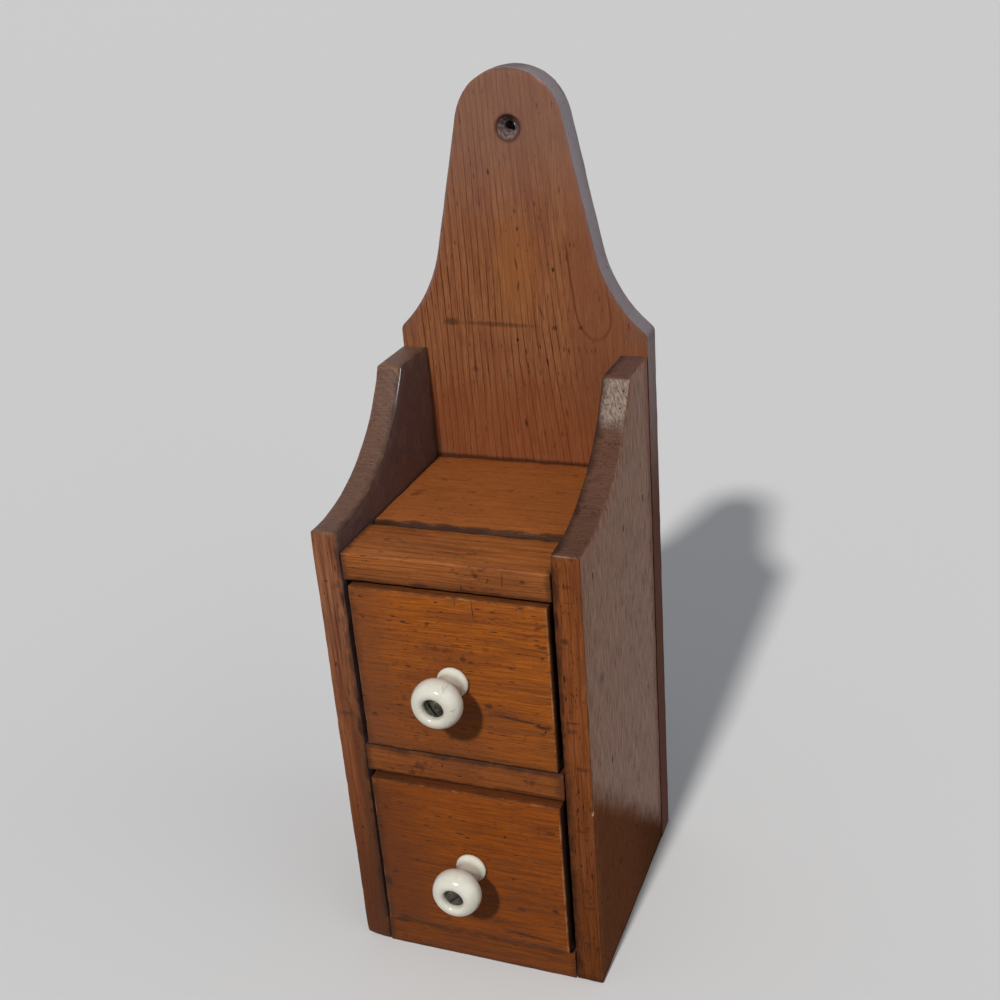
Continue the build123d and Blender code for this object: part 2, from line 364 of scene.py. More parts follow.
pineLook = {  # what every board shares, in millimetres and shares of 1
    "early": (0.235, 0.068, 0.012), "late": (0.085, 0.024, 0.006), "streak": (0.105, 0.029, 0.008),
    "deep": (0.120, 0.034, 0.013), "dirt": (0.022, 0.011, 0.008), "pale": (0.38, 0.165, 0.045),
    "ring": 2.8, "rise": 1.0, "run": 0.4, "wander": 5.0, "ripple": 1.1,
    "lineFrom": 0.70, "lineFull": 0.93, "lineEnd": (0.955, 1.0), "steady": 0.3, "lines": 0.5,
    "streaks": 0.5, "fibre": 0.30, "flecks": 0.8, "fleckShare": 0.0, "cloud": 0.5, "smudges": 0.35,
    "scuffs": 0.4, "seed": 0.0, "gloss": 0.42, "specular": 0.10, "coatRoughness": 0.25, "bump": 0.0006,
    "arrisPale": 0.3, "floorShade": 0.68, "borders": (), "marks": (), "face": 0.0,
}
figures = {  # noise drawn out along the grain: length, width, detail, roughness and shift
    "sweep": (95, 34, 2, 0.55, 0.0), "ripple": (26, 7, 2, 0.55, 3.1), "soft": (44, 3.2, 3, 0.6, 5.7),
    "thin": (30, 0.85, 3, 0.6, 9.2), "fibre": (14, 0.42, 3, 0.65, 1.3), "hair": (3.5, 0.30, 2, 0.6, 7.9),
    "cloud": (40, 22, 3, 0.6, 12.4), "scuff": (5, 1.5, 3, 0.7, 15.6),
}
fleckSizes = ((6.5, 1.5, 2.2, 1.13), (3.2, 0.9, 6.1, 1.17))  # length, width, shift and how rare


def pine(name, node, grain, **changes):
    look = dict(pineLook, **changes)
    paint = newPaint(name)
    x, y, z = paint.place()
    along, across, deep = {"up": (z, x, y), "level": (x, z, y), "side": (z, y, x)}[grain]
    seed = look["seed"]

    def drawnOut(length, width, shift):
        return paint.vector(along / length + (seed + shift), across / width, deep / width + shift)

    def figure(kind):
        length, width, detail, rough, shift = figures[kind]
        return paint.noise(drawnOut(length, width, shift), detail, rough)

    # growth rings as layers that wander slowly along the grain
    if "field" in look:
        layer = look["field"](x, y, z)
    else:
        layer = across * look["rise"] + deep * look["run"]
    layer = layer + (figure("sweep") - 0.5) * look["wander"] + (figure("ripple") - 0.5) * look["ripple"]
    layer = layer / look["ring"] + seed
    ring = paint.maths("FRACT", layer)
    count = paint.maths("FLOOR", layer)
    line = ring.rise(look["lineFrom"], look["lineFull"]) * ring.fall(*look["lineEnd"])
    strong = paint.noise(paint.vector(count * 7.31, along / 45, seed)).rise(0.30, 0.60)
    line = line * (strong * (1 - look["steady"]) + look["steady"])
    if "quiet" in look:
        line = line * look["quiet"](x, y, z)

    # long soft streaks, fine fibre, pores and short resin flecks
    soft = figure("soft").rise(0.44, 0.68)
    thin = figure("thin").rise(0.51, 0.66)
    fibre = figure("fibre")
    hair = figure("hair")
    cloud = figure("cloud")
    patch = paint.noise(paint.vector(x / 9 + seed, y / 9, z / 9), 3.0, 0.6)
    rubbed = paint.noise(paint.vector(x / 30, y / 30 + seed, z / 30), 1.0)
    scuffs = figure("scuff").rise(0.60, 0.70) * rubbed.rise(0.42, 0.60)
    flecks = None
    for length, width, shift, rare in fleckSizes:
        cell = drawnOut(length, width, shift)
        picked = paint.node("ShaderNodeSeparateColor", {}, {0: paint.cells(cell, "Color")})
        rare = rare - look["fleckShare"]
        some = paint.cells(cell, "Distance").fall(0.12, 0.34)
        some = some * (picked + cloud * 0.5).rise(rare, rare + 0.07)
        flecks = some if flecks is None else flecks.most(some)

    colour = paint.blend(soft * look["streaks"], look["early"], look["deep"])
    colour = paint.blend(thin * look["streaks"], colour, look["streak"])
    colour = paint.blend(line * look["lines"], colour, look["late"])
    colour = paint.shade(colour, 1 + (fibre - 0.5) * look["fibre"] * 4 + (hair - 0.5) * look["fibre"] * 2)
    colour = paint.blend(cloud.rise(0.45, 0.75) * look["cloud"], colour, look["deep"])
    # painted shade: each board is made darker towards the bottom, standing in for light that falls off
    # lower down
    colour = paint.shade(colour, z.rise(10, 190) * (1 - look["floorShade"]) + look["floorShade"])
    if "over" in look:
        colour = look["over"](paint, colour, x, y, z, fibre, patch)
    colour = paint.blend(patch.rise(0.62, 0.74) * look["smudges"], colour, look["dirt"])
    colour = paint.blend(scuffs * look["scuffs"], colour, look["dirt"])
    colour = paint.blend(flecks * look["flecks"], colour, look["dirt"])
    rubs = paint.arris().rise(0.85, 1.0) * (patch * 0.6 + hair * 0.6).rise(0.60, 0.72)
    colour = paint.blend(rubs * look["arrisPale"], colour, look["pale"])
    relief = fibre * 0.5 + hair * 0.3 + line * 0.35 - flecks * 0.8
    rough = (fibre - 0.5) * 0.25 + look["gloss"]
    if look["borders"]:
        dirt = grime(node, (x, y, z), look["borders"], patch)
        colour = paint.blend(dirt, colour, look["dirt"])
        rough = rough + dirt * 0.15
    if look["marks"]:
        face = spots(y if grain == "side" else x, z, look["marks"], hair)
        face = face * abs(deep - look["face"]).fall(1.0, 2.5)
        colour = paint.blend(face, colour, look["dirt"])
        relief = relief - face * 0.8
    coat = look["coat"](paint, x, y, z, patch) if "coat" in look else 0.0
    return paint.cover(colour=colour, roughness=rough, coat=coat, coatRoughness=look["coatRoughness"],
                       specular=look["specular"], height=(relief, 0.4, look["bump"]))


chinaTone = {"glaze": (0.61, 0.585, 0.495), "aged": (0.56, 0.515, 0.405),
             "crack": (0.23, 0.20, 0.14), "dirt": (0.050, 0.034, 0.022)}


def china(name, node, marks):
    low, high = (corner * 1000 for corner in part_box(node))
    paint = newPaint(name)
    x, y, z = paint.place()
    across, rise, out = x - (low.x + high.x) / 2, z - (low.z + high.z) / 2, high.y - y
    reach = (across ** 2 + rise ** 2).root()
    wavy = paint.noise(paint.vector(x / 2.5, y / 2.5, z / 2.5), 2.0)
    net = paint.vector(x / 4.2 + wavy * 0.4, y / 4.2, z / 4.2 + wavy * 0.4)
    crack = paint.cells(net, "Distance", "DISTANCE_TO_EDGE")
    crazed = paint.noise(paint.vector(x / 5, y / 5, z / 5)).rise(0.45, 0.62)
    lines = crack.fall(0.0, 0.022) * crazed
    tint = paint.noise(paint.vector(x / 7, y / 7, z / 7 + 3), 3.0)
    specks = paint.noise(paint.vector(x * 1.4, y * 1.4, z * 1.4), 2.0).rise(0.66, 0.74)
    colour = paint.blend(tint.rise(0.35, 0.7) * 0.6, chinaTone["glaze"], chinaTone["aged"])
    colour = paint.blend(lines * 0.35, colour, chinaTone["crack"])
    # painted shade: the neck under the head is darkened with the crack tone
    waist = out.rise(3.2, 6.0) * out.fall(11, 15)
    colour = paint.blend(waist * 0.45, colour, chinaTone["crack"])
    # dark at the foot against the wood: dirt, and painted shade where the knob meets the front
    colour = paint.blend((out + wavy * 0.6).fall(0.5, 1.3) * 0.85, colour, chinaTone["dirt"])
    # painted shade in the dish round the bolt
    dish = (reach + (tint - 0.5) * 1.5).fall(4.3, 6.0) * out.rise(20, 22)
    colour = paint.blend(dish * 0.45, colour, chinaTone["crack"])
    colour = paint.blend(specks * (waist * 0.5 + 0.12), colour, chinaTone["dirt"])
    chipped = spots(across, rise, marks, wavy) * out.rise(12, 15)
    colour = paint.blend(chipped, colour, chinaTone["crack"])
    return paint.cover(colour=colour, roughness=0.16, coat=0.35, coatRoughness=0.05, specular=0.35,
                       height=(tint, 0.05, 0.0004))


def metal(name, light, dark, size, metallic, roughness, specular=0.5):
    paint = newPaint(name)
    x, y, z = paint.place()
    cloud = paint.noise(paint.vector(x / size, y / size, z / size), 4.0, 0.65)
    scratch = paint.noise(paint.vector(x / size * 9, y / size * 2, z / size), 3.0, 0.7)
    colour = paint.blend((cloud + (scratch - 0.5) * 0.5).rise(0.35, 0.65), light, dark)
    return paint.cover(colour=colour, metallic=metallic, roughness=roughness + (cloud - 0.5) * 0.3,
                       specular=specular, height=(cloud + scratch * 0.4, 0.4, 0.0003))


# Carcass

boardWear = {"arris": 1.0 * mm, "loss": 0.7 * mm, "spread": 9 * mm}
innerWear = {"arris": 0.5 * mm, "loss": 0.35 * mm, "spread": 7 * mm}
shelfWear = {"arris": 0.9 * mm, "loss": 1.2 * mm, "spread": 5 * mm}
thinWear = {"arris": 0.4 * mm, "loss": 0.25 * mm, "spread": 6 * mm}

scroll = {  # the sawn head of the back board
    "archCentre": Vector((1 * mm, 396 * mm)), "archRadius": 27.3 * mm, "waist": (40.5 * mm, 338 * mm),
    "shoulder": 297.4 * mm, "cornerRound": 2.2 * mm, "archSpring": 50,
    "hole": 2.7 * mm, "holeBehind": 2.3 * mm, "sink": 6.0 * mm, "sinkDepth": 3.3 * mm,
}


def cornerBend(start, corner, end, count):
    shares = [step / count for step in range(count + 1)]
    return [start * (1 - t) ** 2 + corner * 2 * t * (1 - t) + end * t * t for t in shares]


def flankAndShoulder(hand):  # from the corner of the shoulder up to where the arch begins
    centre, radius = scroll["archCentre"], scroll["archRadius"]
    waist = Vector((hand * scroll["waist"][0], scroll["waist"][1]))
    corner = Vector((hand * cadHigh.x, scroll["shoulder"]))
    away = waist - centre
    turn = (atan2(away.y, away.x) + hand * acos(radius / away.length)) % (2 * pi)
    spring = centre + radius * Vector((cos(turn), sin(turn)))
    down = (waist - spring).normalized()
    out = Vector((-down.y, down.x)) * hand
    chord = corner - waist
    bend = chord.length_squared / (2 * out.dot(chord))
    middle = waist + out * bend
    first = atan2(corner.y - middle.y, corner.x - middle.x) % (2 * pi)
    last = atan2(waist.y - middle.y, waist.x - middle.x) % (2 * pi)
    begin = first + (last - first) * scroll["cornerRound"] / (abs(last - first) * bend)
    curve = arc(middle, bend, begin, last, 9)
    below = corner - Vector((0, scroll["cornerRound"]))
    return chain(cornerBend(below, corner, curve[0], 3), curve, line(waist, spring, 10)), turn


def backBoard(finish):
    low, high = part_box("back_board")
    sidesUp = {}
    for hand in (-1, 1):
        edge = hand * high.x
        shaped, turn = flankAndShoulder(hand)
        spring = radians(90 - hand * (90 - scroll["archSpring"]))
        arch = arc(scroll["archCentre"], scroll["archRadius"], turn, spring, 5)
        sidesUp[hand] = chain(line((edge, 0), shaped[0], 46), shaped, arch)
    crown = arc(scroll["archCentre"], scroll["archRadius"], radians(180 - scroll["archSpring"]),
                radians(scroll["archSpring"]), 20)
    sides = (line((low.x, 0), (high.x, 0), 20), crown, sidesUp[-1], sidesUp[1])
    piece = sheetBetween("backBoard", "xz", sides, low.y)
    thicken("xz", evenly(low.y, high.y, 3))
    worn(piece, boardWear)

    flare = (scroll["sink"] - scroll["hole"]) / scroll["sinkDepth"]
    through = high.y - low.y + 1 * mm
    rings = [(scroll["holeBehind"], -through), (scroll["hole"], -scroll["sinkDepth"]),
             (scroll["sink"] + flare * 2 * mm, 2 * mm)]
    cutter = turned("sinkCutter", rings, 48, False)
    cutter.rotation_euler = (pi / 2, 0, 0)
    cutter.location = (scroll["archCentre"].x, low.y, scroll["archCentre"].y)
    cutAway(piece, cutter)
    nailPockets(piece, "back_nails")
    smoothed(piece)
    return finished(piece, "carcass", "back_pine", finish, "back_board")


scoop = {"corner": 237 * mm, "arm": 287.5 * mm, "armDepth": 32 * mm, "radius": 90 * mm}
wornFoot = {"piece": "leftSide", "reach": 8 * mm, "depth": 1.6 * mm}


def sideBoard(name, node, nails, finish):
    low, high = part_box(node)
    start, end = Vector((low.y, scoop["corner"])), Vector((high.y - scoop["armDepth"], scoop["arm"]))
    chord = end - start
    out = Vector((-chord.y, chord.x)).normalized()
    middle = (start + end) / 2 + out * sqrt(scoop["radius"] ** 2 - chord.length_squared / 4)
    first = atan2(start.y - middle.y, start.x - middle.x)
    last = atan2(end.y - middle.y, end.x - middle.x)
    top = chain(arc(middle, scoop["radius"], first, last, 16), line(end, (high.y, scoop["arm"]), 5))
    bottom = [Vector((point.x, 0)) for point in top]
    bottom[0], bottom[-1] = Vector((low.y, 0)), Vector((high.y, 0))
    sides = (bottom, top, line(bottom[0], top[0], 42), line(bottom[-1], top[-1], 42))
    piece = sheetBetween(name, "yz", sides, low.x)
    thicken("yz", evenly(low.x, high.x, 3))
    worn(piece, boardWear)
    if name == wornFoot["piece"]:
        knock(piece, (low.x, low.y, 0), wornFoot["reach"], wornFoot["depth"])
    nailPockets(piece, nails)
    nailPockets(piece, "back_nails")
    smoothed(piece)
    return finished(piece, "carcass", "side_pine", finish, node)


shelfLap = {"drop": 5 * mm, "tongue": 10 * mm, "gap": 3.5 * mm, "slack": 0.2 * mm}


def splitSides(low, high, split, below, above, columns=26):  # with a row of points where the face splits
    upright = chain(line((0, low.z), (0, split), below), line((0, split), (0, high.z), above))
    left, right = ([Vector((edge, point.y)) for point in upright] for edge in (low.x, high.x))
    return line(left[0], right[0], columns), line(left[-1], right[-1], columns), left, right


def stepped(name, node, fromTop, outward, depths, wear):  # a board with a tongue drawn out of its face
    low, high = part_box(node)
    split = high.z - shelfLap["drop"] + fromTop
    piece = sheetBetween(name, "xz", splitSides(low, high, split, 2, 2), depths[0])
    thicken("xz", depths)
    face = depths[-1] if outward > 0 else depths[0]
    upper = outward < 0
    pickFaces(piece, lambda f: abs(f.center.y - face) < touching and (f.center.z > split) == upper)
    reach = (high.y if outward > 0 else low.y) - face
    bpy.ops.mesh.extrude_region_move(TRANSFORM_OT_translate={"value": (0, reach, 0)})
    worn(piece, wear)
    smoothed(piece)
    return piece


def topRail(finish):
    low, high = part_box("top_rail")
    rear = high.y - shelfLap["tongue"]
    piece = stepped("topRail", "top_rail", 0, 1, evenly(low.y, rear, 4), boardWear)
    for nails in ("left_side_nails", "right_side_nails"):
        nailPockets(piece, nails)
    smoothed(piece)
    return finished(piece, "carcass", "rail_pine", finish, "top_rail")


def shelfBoard(finish):
    low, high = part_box("shelf_board")
    start = low.y + shelfLap["tongue"] + shelfLap["slack"] - shelfLap["gap"]
    piece = stepped("shelfBoard", "shelf_board", shelfLap["slack"], -1, evenly(start, high.y, 8), shelfWear)
    return finished(piece, "carcass", "rail_pine", finish, "shelf_board")


# Drawers

drawerWear = {"arris": 0.8 * mm, "loss": 0.6 * mm, "spread": 8 * mm}
drawerBuild = {"rabbet": 6 * mm, "bolt": 2.3 * mm, "boltReach": 60 * mm}


def drawerFront(name, finish):
    front = name + "_drawer_front"
    low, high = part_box(front)
    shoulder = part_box(name + "_drawer_bottom")[1].z
    piece = sheetBetween(name + "Front", "xz", splitSides(low, high, shoulder, 1, 20), low.y)
    half = high.y - drawerBuild["rabbet"]
    thicken("xz", [low.y, (low.y + half) / 2, half])
    pickFaces(piece, lambda f: abs(f.center.y - half) < touching and f.center.z > shoulder)
    bpy.ops.mesh.extrude_region_move(TRANSFORM_OT_translate={"value": (0, high.y - half, 0)})
    worn(piece, drawerWear)
    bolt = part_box(name + "_knob_bolt")
    middle = (bolt[0] + bolt[1]) / 2
    deselect()
    bpy.ops.mesh.primitive_cylinder_add(
        vertices=24, radius=drawerBuild["bolt"], depth=drawerBuild["boltReach"],
        location=(middle.x, low.y, middle.z), rotation=(pi / 2, 0, 0))
    cutAway(piece, bpy.context.object)
    nailPockets(piece, name + "_drawer_nails")
    smoothed(piece)
    return finished(piece, name + "_drawer", "front_pine", finish, front)


def drawerBoards(name, finish):
    for part, plane, columns, rows in (("left_side", "yz", 16, 12), ("right_side", "yz", 16, 12),
                                       ("back", "xz", 12, 12), ("bottom", "xy", 14, 16)):
        node = name + "_drawer_" + part
        piece = plainBoard(name + part.title().replace("_", ""), node, plane, thinWear, columns, rows, 1)
        nailPockets(piece, name + "_drawer_nails")
        smoothed(piece)
        finished(piece, name + "_drawer", "bare_pine", finish, node)


def turned(name, rings, vertices, closeInside):  # rings drawn out one from another along an axis
    (radius, height), *rest = rings
    deselect()
    bpy.ops.mesh.primitive_circle_add(vertices=vertices, radius=radius, fill_type="NOTHING",
                                      location=(0, 0, height))
    piece = bpy.context.object
    piece.name = name
    bpy.ops.object.transform_apply(location=True)
    bpy.ops.object.mode_set(mode="EDIT")
    bpy.ops.mesh.select_mode(type="EDGE")
    bpy.ops.mesh.select_all(action="SELECT")
    for newRadius, newHeight in rest:
        bpy.ops.mesh.extrude_region_move(TRANSFORM_OT_translate={"value": (0, 0, newHeight - height)})
        size = newRadius / radius
        bpy.ops.transform.resize(value=(size, size, 1), center_override=(0, 0, newHeight))
        radius, height = newRadius, newHeight
    bpy.ops.mesh.select_all(action="DESELECT")
    bpy.ops.mesh.select_non_manifold()
    if closeInside:
        bpy.ops.mesh.bridge_edge_loops()
    else:
        bpy.ops.mesh.edge_face_add()
    bpy.ops.mesh.select_all(action="SELECT")
    bpy.ops.mesh.normals_make_consistent(inside=False)
    bpy.ops.object.mode_set(mode="OBJECT")
    return piece


knobRings = [  # radius and height in millimetres, from the bore at the foot to the bore in the dish
    (2.3, 0.0), (7.1, 0.0), (7.75, 0.5), (7.9, 1.3), (7.75, 2.1), (7.1, 2.7), (6.2, 4.3), (5.85, 7.2),
    (6.2, 10.2), (7.4, 12.4), (10.2, 14.3), (11.9, 16.6), (12.45, 19.5), (11.95, 22.3), (10.6, 24.6),
    (8.9, 25.95), (7.2, 26.35), (5.7, 25.9), (4.85, 24.6), (4.6, 23.2), (4.6, 22.2), (2.3, 22.2),
]
knobSwell = {"spread": 9 * mm, "depth": 0.15 * mm}


def knob(name, finish):
    low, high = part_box(name + "_knob")
    piece = turned(name + "Knob", [(r * mm, h * mm) for r, h in knobRings], 40, True)
    applied(piece, "SUBSURF", levels=2, render_levels=2)
    swell = bpy.data.textures.new(piece.name + "Swell", "CLOUDS")
    swell.noise_scale = knobSwell["spread"]
    applied(piece, "DISPLACE", texture=swell, texture_coords="LOCAL", strength=-knobSwell["depth"],
            mid_level=0.0)
    piece.rotation_euler = (pi / 2, 0, 0)
    piece.location = ((low.x + high.x) / 2, high.y, (low.z + high.z) / 2)
    smoothed(piece, 60)
    return finished(piece, name + "_drawer", "china", finish, name + "_knob")


boltShape = {"shaft": 2.0, "seat": 40.8, "head": 4.35, "edge": 1.5, "crown": 2.75,
             "slot": 1.3, "slotDepth": 1.4, "slotLength": 20,
             "thread": 0.42, "threadDepth": 0.28, "threadLength": 12.0}


def boltRings():  # from the end of the thread to the crown, measured out from the seat of the head
    shape = boltShape
    rings = [(0.9, -shape["seat"]), (shape["shaft"] - 0.4, -shape["seat"] + 0.05)]
    root = shape["shaft"] - shape["threadDepth"]
    for turn in range(int(shape["threadLength"] / shape["thread"])):
        height = -shape["seat"] + 0.3 + turn * shape["thread"]
        rings += [(root, height), (shape["shaft"], height + shape["thread"] / 2)]
    rings += [(shape["shaft"], -0.1), (shape["shaft"], 0), (shape["head"] - 0.15, 0), (shape["head"], 0.15)]
    crownRise = shape["crown"] - shape["edge"]
    for share in (1.0, 0.8, 0.55, 0.25, 0.06):
        rise = crownRise * sqrt(1 - share ** 2) * (1 - 0.15 * share)
        rings.append((shape["head"] * share, shape["edge"] + rise))
    return [(r * mm, h * mm) for r, h in rings]


def knobBolt(name, slotTurn, finish):
    low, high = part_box(name + "_knob_bolt")
    piece = turned(name + "KnobBolt", boltRings(), 32, False)
    deselect()
    slot = (boltShape["slotLength"], boltShape["slot"], 2 * boltShape["slotDepth"])
    bpy.ops.mesh.primitive_cube_add(size=1, location=(0, 0, boltShape["crown"] * mm),
                                    rotation=(0, 0, radians(slotTurn)), scale=[size * mm for size in slot])
    cutAway(piece, bpy.context.object)
    piece.rotation_euler = (pi / 2, 0, 0)
    piece.location = ((low.x + high.x) / 2, high.y - boltShape["seat"] * mm, (low.z + high.z) / 2)
    smoothed(piece)
    return finished(piece, name + "_drawer", "bolt_steel", finish, name + "_knob_bolt")


# Finishes, in millimetres

print("finishes")

holeAt = scroll["archCentre"] * 1000
archFigure = {"x": 37, "z": 320, "lean": 0.10, "foot": 308, "squeeze": 0.62, "inside": (8, 13), "line": 8.6}
backFaces = {"front": (51.8, 52.8), "rear": (65.6, 66.2)}
backTones = {  # a colour, and how strongly it covers
    "bow": (0.070, 0.018, 0.010, 0.8), "rim": (0.200, 0.150, 0.155, 0.35),
    "glow": (0.30, 0.110, 0.030, 0.45), "flat": (0.175, 0.060, 0.030, 0.55),
    "head": (0.185, 0.092, 0.066, 0.5), "tips": (0.15, 0.075, 0.055, 0.5),
    "bloom": (0.20, 0.15, 0.12, 0.18), "low": (0.185, 0.046, 0.014, 0.5),
    "foot": (0.030, 0.011, 0.007, 0.75), "sinkRim": (0.070, 0.026, 0.020, 0.85),
}
backWood = {
    "edgeLow": (0.190, 0.090, 0.067), "edgeMiddle": (0.340, 0.280, 0.270),
    "edgeHigh": (0.352, 0.322, 0.345), "sawn": (0.255, 0.162, 0.096), "sawnDark": (0.165, 0.096, 0.054),
    "boredDark": (0.080, 0.052, 0.046), "boredPale": (0.195, 0.138, 0.128),
}


def backField(x, y, z):  # straight growth that leans a little to the right as it goes down
    lean = x.rise(-25, 30) * 0.09 + 0.005
    return x - 38 + lean * (z - archFigure["z"]) + y * 0.5


def shoulderFigure(x, z):  # distance from the heart of the pointed arch
    p = x - archFigure["x"] + (z - archFigure["z"]) * archFigure["lean"]
    q = (archFigure["foot"] - z).most(0.0) * archFigure["squeeze"]
    return (p * p + q * q).root()


def backQuiet(x, y, z):  # the figure fades out over the right shoulder
    inside = shoulderFigure(x, z).rise(*archFigure["inside"])
    return inside * (1 - (x + (z - 300) * 0.12).rise(14, 34) * 0.4)


def fromHole(x, z):
    return ((x - holeAt.x) ** 2 + (z - holeAt.y) ** 2).root()


def backFace(paint, colour, x, z, stray):
    bow = abs(shoulderFigure(x, z) - archFigure["line"] + stray * 1.5)
    return paint.laid(
        colour, backTones,
        bow=bow.fall(0.2, 0.8) * z.rise(290, 297) * z.fall(335, 350),
        rim=paint.arris().rise(0.2, 0.9) * z.rise(290, 310),
        glow=((x / 16) ** 2 + ((z - 332) / 42) ** 2).root().fall(0.2, 1.0),
        flat=x.rise(22, 34) * z.rise(225, 260),
        # painted sheen: a greyer tone rising over the head stands in for a reflection there
        head=(z + stray * 30).rise(330, 410),
        tips=abs(x).rise(50, 62) * z.rise(285, 300),
        bloom=(x + (z - 228) * 0.8 + stray * 14).fall(-48, -36) * z.fall(236, 246),
        # painted shade: darker and redder low down, above the shelf between the arms
        low=(z + stray * 20).fall(245, 290),
        # painted shade with dirt: a dark line along the foot of the back, where it meets the shelf
        foot=(z + stray * 1.5).fall(227.6, 229.6))


def backEdge(paint, z, fibre, stray):  # greyer towards the head, and darker where it faces up: painted shade against the extra light on those faces
    edge = paint.blend((z + stray * 12).rise(195, 285), backWood["edgeLow"], backWood["edgeMiddle"])
    edge = paint.blend((z + stray * 6).rise(286, 302), edge, backWood["edgeHigh"])
    facingUp = (z.rise(396, 420) + z.fall(302, 352)) * z.rise(290, 298)
    return paint.shade(edge, (1 + (fibre - 0.5) * 0.6) * (1 - facingUp * 0.38))


def backRear(paint, x, z, fibre, stray):  # never finished: dry, with upright grain and saw marks across it
    reeds = paint.noise(paint.vector(x / 1.8, 0.0, z / 60), 3.0, 0.6)
    sawn = paint.noise(paint.vector(x / 60, 0.0, z / 0.7), 2.0, 0.6)
    aged = paint.blend(reeds.rise(0.36, 0.62), backWood["sawn"], backWood["sawnDark"])
    return paint.shade(aged, 1 + stray * 0.5 + (sawn - 0.5) * 0.45 + (fibre - 0.5) * 0.5)


def backOver(paint, colour, x, y, z, fibre, patch):
    stray = patch - 0.5
    colour = backFace(paint, colour, x, z, stray)
    colour = paint.blend(y.rise(*backFaces["front"]) * 0.8, colour, backEdge(paint, z, fibre, stray))
    rear = y.rise(*backFaces["rear"])
    colour = paint.blend(rear * 0.9, colour, backRear(paint, x, z, fibre, stray))
    cut = fromHole(x, z) + stray * 2.2
    ahead = 1 - rear
    colour = paint.laid(colour, backTones, sinkRim=cut.fall(5.6, 7.9) * ahead)
    grit = paint.noise(paint.vector(x / 1.7, y / 1.7, z / 1.7), 3.0, 0.7)
    bored = paint.blend(grit.rise(0.38, 0.64), backWood["boredDark"], backWood["boredPale"])
    return paint.blend(cut.fall(4.8, 6.0) * ahead, colour, bored)


def backCoat(paint, x, y, z, patch):  # a dull shine on the head
    around = fromHole(x, z).rise(6.0, 7.0)
    return (z + (patch - 0.5) * 40).rise(320, 400) * around * y.fall(52.2, 53.2) * 0.8


backPine = pine(
    "backPine", "back_board", "up", field=backField, over=backOver, coat=backCoat, quiet=backQuiet,
    early=(0.241, 0.092, 0.038), late=(0.055, 0.013, 0.006), streak=(0.13, 0.038, 0.014),
    deep=(0.165, 0.045, 0.019), specular=0.0, ring=3.35, lineFrom=0.78, lines=0.95, steady=0.4,
    streaks=0.45, fibre=0.40, wander=3.8, scuffs=0.15, smudges=0.12, seed=0.3, floorShade=0.8, flecks=0.55,
    face=51.5, borders=(("z", "high", 3, 0.3),),
    marks=((-10.6, 375.5, 2.2, 0.9, 96, 0.8), (1.2, 357, 2.0, 0.6, 96, 0.7),
           (2.1, 348.4, 1.6, 0.8, 80, 0.8), (19.1, 328.7, 1.6, 1.2, 90, 0.8),
           (0.3, 331.2, 4.5, 0.5, 100, 0.7), (0.5, 319.8, 3.5, 0.5, 84, 0.7),
           (11.8, 307, 5.5, 0.5, 110, 0.7), (-1.6, 292.7, 1.2, 1.2, 0, 0.8),
           (2.6, 286.8, 2.2, 0.6, 96, 0.7), (13.4, 282, 3.2, 0.8, 98, 0.8),
           (10.1, 289.4, 1.8, 0.6, 98, 0.7), (3.2, 279.2, 2.4, 0.5, 96, 0.7),
           (-0.1, 248.4, 3.2, 0.8, 94, 0.8), (24.8, 287.8, 2.4, 0.6, 98, 0.8),
           (22.3, 255.3, 4.0, 0.6, 100, 0.6), (18.3, 299.5, 2.0, 1.6, 0, 0.6),
           (31.5, 300, 1.6, 1.4, 0, 0.6), (-25.5, 276.3, 3.0, 2.2, 0, 0.35),
           (-12, 300.3, 26, 1.7, -1, 0.45), (-36.3, 300.9, 5.5, 2.6, 0, 0.55)))

sideFaces = {
    "front": (-66, -65), "leftInner": (-51.8, -51.2), "rightOuter": (64.0, 64.7), "armTop": (286.2, 287.2),
}
scoopAt = {"y": -61.4, "z": 326.9, "radius": (90.5, 91.6)}
sideTones = {  # a colour, and how strongly it covers
    "streak": (0.115, 0.030, 0.014, 0.75), "pale": (0.330, 0.135, 0.058, 0.6),
    "inner": (0.330, 0.225, 0.235, 0.75), "foot": (0.210, 0.052, 0.012, 0.7),
    "band": (0.075, 0.028, 0.012, 0.65), "outer": (0.300, 0.114, 0.050, 0.8),
    "rear": (0.165, 0.050, 0.028, 0.7), "low": (0.165, 0.055, 0.025, 0.6),
    "reeds": (0.130, 0.034, 0.013, 0.5), "corner": (0.060, 0.021, 0.011, 0.8),
}
endGrain = {
    "left": (0.082, 0.052, 0.041), "rightScoop": (0.065, 0.042, 0.034), "rightArm": (0.080, 0.054, 0.049),
    "tornDark": (0.125, 0.086, 0.067), "tornPale": (0.290, 0.220, 0.175), "splinter": (0.42, 0.28, 0.18),
}


def armTone(paint, colour, x, y, z, tone):  # darker end grain on the scoops and on the flat ends
    reach = ((y - scoopAt["y"]) ** 2 + (z - scoopAt["z"]) ** 2).root()
    ends = reach.fall(*scoopAt["radius"]).most(z.rise(*sideFaces["armTop"]))
    saw = paint.noise(paint.vector(x / 14, y / 0.5, z / 0.5), 3.0, 0.6)
    colour = paint.blend(ends * 0.75, colour, tone)
    return paint.shade(colour, 1 + ends * (saw - 0.5) * 1.4)


leftMarks = ((-52.4, 202, 7.0, 0.9, 90, 0.65), (-59.5, 211.7, 1.3, 1.0, 0, 0.7),
             (-60.6, 166.8, 1.8, 0.7, 80, 0.8), (-58, 139.5, 6.0, 1.8, 0, 0.4),
             (-52.6, 133.6, 9.0, 1.3, 90, 0.75), (-58.6, 71.2, 1.2, 1.0, 0, 0.8),
             (-57, 185, 42, 0.6, 90, 0.5))


